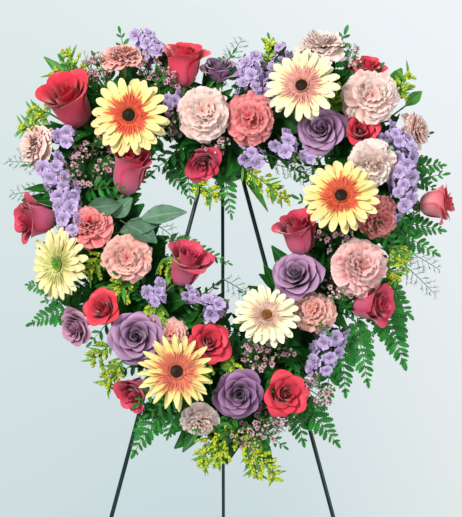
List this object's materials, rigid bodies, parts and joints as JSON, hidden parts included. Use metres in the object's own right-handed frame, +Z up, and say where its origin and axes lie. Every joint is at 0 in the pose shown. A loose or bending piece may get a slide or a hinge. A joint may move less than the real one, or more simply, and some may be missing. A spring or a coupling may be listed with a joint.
{
  "type": "funeral wreath on easel",
  "caption": "Open heart of mixed cut flowers and foliage in floral foam, hung on a folding tripod easel of green steel rod.",
  "frame": {"origin": "middle of the footprint, on the floor", "axes": "+Z up, flowers face -Y, +X to the right as seen from the front"},
  "size_m": [0.7424, 0.6738, 1.4464],
  "materials": {
    "green_steel": "gloss paint",
    "zinc": "zinc plated",
    "rubber": "matt",
    "tray_plastic": "moulded",
    "foam": "wet open-cell foam",
    "cream_petal": "soft petal",
    "lavender_petal": "soft petal",
    "coral_petal": "soft petal",
    "blush_petal": "soft petal",
    "stock_petal": "soft petal"
  },
  "bodies": {
    "easel_front_and_wreath": {"backing_tray": "tray_plastic", "carnation_01": "blush_petal", "carnation_02": "blush_petal", "carnation_03": "blush_petal", "carnation_04": "blush_petal", "carnation_05": "blush_petal", "carnation_06": "blush_petal", "carnation_07": "blush_petal", "carnation_08": "blush_petal", "carnation_09": "blush_petal", "carnation_10": "blush_petal", "carnation_11": "blush_petal", "carnation_12": "blush_petal", "carnation_13": "blush_petal", "carnation_14": "blush_petal", "carnation_15": "blush_petal", "cross_bar": "green_steel", "foam_heart": "foam", "foot_cap_left": "rubber", "foot_cap_right": "rubber", "front_leg_left": "green_steel", "front_leg_right": "green_steel", "gerbera_01": "cream_petal", "gerbera_02": "cream_petal", "gerbera_03": "cream_petal", "gerbera_04": "cream_petal", "gerbera_05": "cream_petal", "gerbera_06": "cream_petal", "head_bracket": "green_steel", "hinge_pin": "zinc", "lavender_rose_01": "lavender_petal", "lavender_rose_02": "lavender_petal", "lavender_rose_03": "lavender_petal", "lavender_rose_04": "lavender_petal", "lavender_rose_05": "lavender_petal", "lavender_rose_06": "lavender_petal", "pink_rose_01": "coral_petal", "pink_rose_02": "coral_petal", "pink_rose_03": "coral_petal", "pink_rose_04": "coral_petal", "pink_rose_05": "coral_petal", "pink_rose_06": "coral_petal", "pink_rose_07": "coral_petal", "pink_rose_08": "coral_petal", "pink_rose_09": "coral_petal", "pink_rose_10": "coral_petal", "pink_rose_11": "coral_petal", "pink_rose_12": "coral_petal", "pink_rose_13": "coral_petal", "pink_rose_14": "coral_petal", "pink_rose_15": "coral_petal", "stock_spike_01": "stock_petal", "stock_spike_02": "stock_petal", "stock_spike_03": "stock_petal", "stock_spike_04": "stock_petal", "stock_spike_05": "stock_petal", "support_hook_left": "green_steel", "support_hook_right": "green_steel"},
    "rear_leg": {"rear_leg": "green_steel", "foot_cap_rear": "rubber"}
  },
  "joints": [
    {"name": "rear_leg_hinge", "type": "hinge", "parent": "easel_front_and_wreath", "child": "rear_leg", "pos_m": [0, -0.04067, 1.29709], "axis": [1, 0, 0], "range_deg": [-27, 0]}
  ]
}
